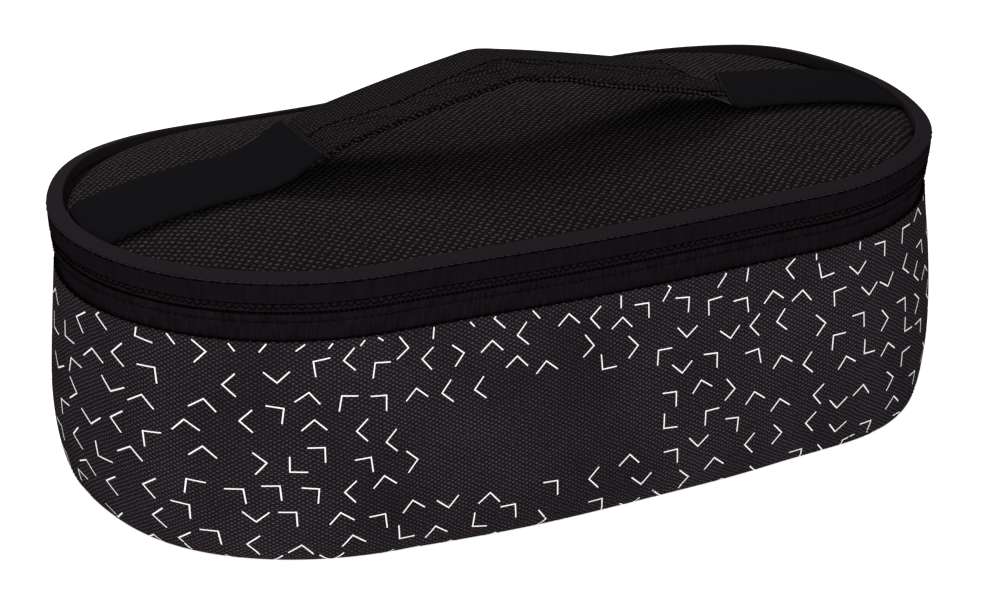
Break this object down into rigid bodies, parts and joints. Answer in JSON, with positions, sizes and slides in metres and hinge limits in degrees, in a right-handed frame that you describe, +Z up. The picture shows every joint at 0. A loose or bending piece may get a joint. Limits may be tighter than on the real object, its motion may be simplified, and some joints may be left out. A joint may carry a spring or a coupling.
{
  "type": "lunch bag",
  "caption": "Oval insulated soft lunch bag with a zipped, fabric-hinged lid and an arched carry strap sewn along its top.",
  "frame": {"origin": "middle of the flat base, on the surface it stands on", "axes": "+X along the bag's length to its right end, -Y to its front, +Z up"},
  "size_m": [0.257, 0.1334, 0.1093],
  "materials": {
    "printed_fabric": "matt woven polyester, near black, with a scattered white chevron print",
    "plain_fabric": "matt plain woven polyester",
    "woven_fabric": "coarse basket weave",
    "patch_fabric": "smooth dark webbing",
    "binding": "smooth binding tape",
    "zip_tape": "fine ribbed tape",
    "zip_coil": "satin nylon coil",
    "lining": "satin silver film",
    "foam": "matt closed-cell foam",
    "slider_metal": "satin black paint"
  },
  "bodies": {
    "body": {"outer_wall": "printed_fabric", "outer_base": "plain_fabric", "base_foam": "foam", "wall_foam": "foam", "wall_lining": "lining", "base_lining": "lining", "rim_binding": "binding", "lower_zip_tape": "zip_tape", "lower_zip_coil": "zip_coil", "bottom_stop": "zip_coil"},
    "lid": {"lid_top_fabric": "woven_fabric", "lid_foam": "foam", "lid_lining": "lining", "lid_edge_binding": "binding", "lid_inner_binding": "binding", "hinge_panel": "plain_fabric", "upper_zip_tape": "zip_tape", "upper_zip_coil": "zip_coil", "end_zip_tape": "zip_tape", "end_zip_coil": "zip_coil", "top_stop_upper": "zip_coil", "top_stop_lower": "zip_coil", "strap_patch_left": "patch_fabric", "strap_patch_right": "patch_fabric", "strap_flare_left": "woven_fabric", "strap_flare_right": "woven_fabric"},
    "handle": {"grip_cover": "woven_fabric", "grip_core": "foam"},
    "slider": {"slider_body": "slider_metal"},
    "pull": {"pull_tab": "slider_metal"}
  },
  "joints": [
    {"name": "lid_hinge", "type": "hinge", "parent": "body", "child": "lid", "pos_m": [0, 0.0639, 0.0635], "axis": [-1, 0, 0], "range_deg": [0, 150]},
    {"name": "handle_tilt", "type": "hinge", "parent": "lid", "child": "handle", "pos_m": [0, 0, 0.093], "axis": [1, 0, 0], "range_deg": [-25, 25], "stiffness_Nm_per_rad": 0.02},
    {"name": "slider_travel", "type": "hinge", "parent": "lid", "child": "slider", "pos_m": [0.0635, 0, 0.0723], "axis": [0, 0, -1], "range_deg": [0, 160], "deforming": ["upper_zip_coil", "lower_zip_coil", "end_zip_coil"]},
    {"name": "pull_swing", "type": "hinge", "parent": "slider", "child": "pull", "pos_m": [0.07398, 0.06617, 0.0723], "axis": [0, 0, -1], "range_deg": [0, 180]}
  ]
}
